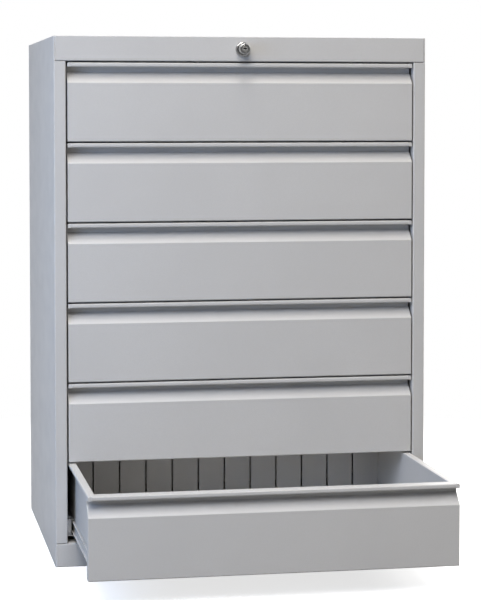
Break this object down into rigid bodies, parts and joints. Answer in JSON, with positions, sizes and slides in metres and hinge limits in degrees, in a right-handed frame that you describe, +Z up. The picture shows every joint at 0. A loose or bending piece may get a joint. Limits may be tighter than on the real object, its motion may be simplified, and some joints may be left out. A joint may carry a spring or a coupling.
{
  "type": "drawer cabinet",
  "caption": "Low steel workshop cabinet of wide drawers with full-width grips, ball-bearing slides and a central push lock.",
  "frame": {"origin": "centre of the casing's footprint, on the floor", "axes": "+Z up, +X to the right seen from the front, +Y to the back; the drawer fronts face -Y"},
  "size_m": [0.717, 0.901, 1],
  "materials": {
    "casing_paint": "fine-textured satin powder coat",
    "drawer_paint": "fine-textured satin powder coat",
    "zinc": "zinc-plated",
    "chrome": "polished",
    "plug_steel": "satin nickel-plated",
    "spring_steel": "drawn wire",
    "slide_steel": "zinc-plated",
    "cage_steel": "yellow-passivated",
    "nylon": "moulded"
  },
  "bodies": {
    "cabinet": {"side_panel_left": "casing_paint", "side_panel_right": "casing_paint", "top_panel": "casing_paint", "top_rail": "casing_paint", "back_panel": "casing_paint", "back_panel_screws": "zinc", "base_panel": "casing_paint", "plinth": "casing_paint", "base_bearer": "casing_paint", "uprights_front": "zinc", "uprights_rear": "zinc", "lock_housing": "chrome", "lock_nut": "zinc", "lock_spring": "spring_steel", "rod_guides": "nylon", "lock_bar_guides": "nylon", "drawer_1_rails": "slide_steel", "drawer_2_rails": "slide_steel", "drawer_3_rails": "slide_steel", "drawer_4_rails": "slide_steel", "drawer_5_rails": "slide_steel", "drawer_6_rails": "slide_steel"},
    "drawer_1": {"drawer_1_front": "drawer_paint", "drawer_1_tray": "drawer_paint", "drawer_1_runners": "drawer_paint", "drawer_1_catch": "zinc"},
    "drawer_1_cages": {"drawer_1_ball_cages": "cage_steel"},
    "drawer_2": {"drawer_2_front": "drawer_paint", "drawer_2_tray": "drawer_paint", "drawer_2_runners": "drawer_paint", "drawer_2_catch": "zinc"},
    "drawer_2_cages": {"drawer_2_ball_cages": "cage_steel"},
    "drawer_3": {"drawer_3_front": "drawer_paint", "drawer_3_tray": "drawer_paint", "drawer_3_runners": "drawer_paint", "drawer_3_catch": "zinc"},
    "drawer_3_cages": {"drawer_3_ball_cages": "cage_steel"},
    "drawer_4": {"drawer_4_front": "drawer_paint", "drawer_4_tray": "drawer_paint", "drawer_4_runners": "drawer_paint", "drawer_4_catch": "zinc"},
    "drawer_4_cages": {"drawer_4_ball_cages": "cage_steel"},
    "drawer_5": {"drawer_5_front": "drawer_paint", "drawer_5_tray": "drawer_paint", "drawer_5_runners": "drawer_paint", "drawer_5_catch": "zinc"},
    "drawer_5_cages": {"drawer_5_ball_cages": "cage_steel"},
    "drawer_6": {"drawer_6_front": "drawer_paint", "drawer_6_tray": "drawer_paint", "drawer_6_runners": "drawer_paint", "drawer_6_catch": "zinc"},
    "drawer_6_cages": {"drawer_6_ball_cages": "cage_steel"},
    "lock_push": {"lock_plunger": "chrome", "lock_ring": "spring_steel", "lock_rod": "zinc"},
    "key_plug": {"lock_plug": "plug_steel"},
    "locking_bar": {"lock_bar": "zinc", "lock_dogs": "zinc", "cam_pin": "spring_steel"}
  },
  "joints": [
    {"name": "drawer_1_slide", "type": "slide", "parent": "cabinet", "child": "drawer_1", "axis": [0, -1, 0], "range_m": [0, 0.4]},
    {"name": "drawer_1_cage_slide", "type": "slide", "parent": "cabinet", "child": "drawer_1_cages", "axis": [0, -1, 0], "range_m": [0, 0.2]},
    {"name": "drawer_2_slide", "type": "slide", "parent": "cabinet", "child": "drawer_2", "axis": [0, -1, 0], "range_m": [0, 0.4]},
    {"name": "drawer_2_cage_slide", "type": "slide", "parent": "cabinet", "child": "drawer_2_cages", "axis": [0, -1, 0], "range_m": [0, 0.2]},
    {"name": "drawer_3_slide", "type": "slide", "parent": "cabinet", "child": "drawer_3", "axis": [0, -1, 0], "range_m": [0, 0.4]},
    {"name": "drawer_3_cage_slide", "type": "slide", "parent": "cabinet", "child": "drawer_3_cages", "axis": [0, -1, 0], "range_m": [0, 0.2]},
    {"name": "drawer_4_slide", "type": "slide", "parent": "cabinet", "child": "drawer_4", "axis": [0, -1, 0], "range_m": [0, 0.4]},
    {"name": "drawer_4_cage_slide", "type": "slide", "parent": "cabinet", "child": "drawer_4_cages", "axis": [0, -1, 0], "range_m": [0, 0.2]},
    {"name": "drawer_5_slide", "type": "slide", "parent": "cabinet", "child": "drawer_5", "axis": [0, -1, 0], "range_m": [0, 0.4]},
    {"name": "drawer_5_cage_slide", "type": "slide", "parent": "cabinet", "child": "drawer_5_cages", "axis": [0, -1, 0], "range_m": [0, 0.2]},
    {"name": "drawer_6_slide", "type": "slide", "parent": "cabinet", "child": "drawer_6", "axis": [0, -1, 0], "range_m": [-0.327, 0.073]},
    {"name": "drawer_6_cage_slide", "type": "slide", "parent": "cabinet", "child": "drawer_6_cages", "axis": [0, -1, 0], "range_m": [-0.1635, 0.0365]},
    {"name": "lock_push_slide", "type": "slide", "parent": "cabinet", "child": "lock_push", "axis": [0, 1, 0], "range_m": [0, 0.01], "stiffness_N_per_m": 900, "springref_m": -0.01, "deforming": ["lock_spring"]},
    {"name": "locking_bar_slide", "type": "slide", "parent": "cabinet", "child": "locking_bar", "axis": [0, 0, -1], "range_m": [0, 0.01]},
    {"name": "key_turn", "type": "hinge", "parent": "lock_push", "child": "key_plug", "pos_m": [0, -0.306, 0.97675], "axis": [0, 1, 0], "range_deg": [0, 90]}
  ],
  "couplings": [
    {"joint": "drawer_1_cage_slide", "follows": "drawer_1_slide", "ratio": 0.5},
    {"joint": "drawer_2_cage_slide", "follows": "drawer_2_slide", "ratio": 0.5},
    {"joint": "drawer_3_cage_slide", "follows": "drawer_3_slide", "ratio": 0.5},
    {"joint": "drawer_4_cage_slide", "follows": "drawer_4_slide", "ratio": 0.5},
    {"joint": "drawer_5_cage_slide", "follows": "drawer_5_slide", "ratio": 0.5},
    {"joint": "drawer_6_cage_slide", "follows": "drawer_6_slide", "ratio": 0.5},
    {"joint": "locking_bar_slide", "follows": "lock_push_slide", "ratio": 1}
  ]
}
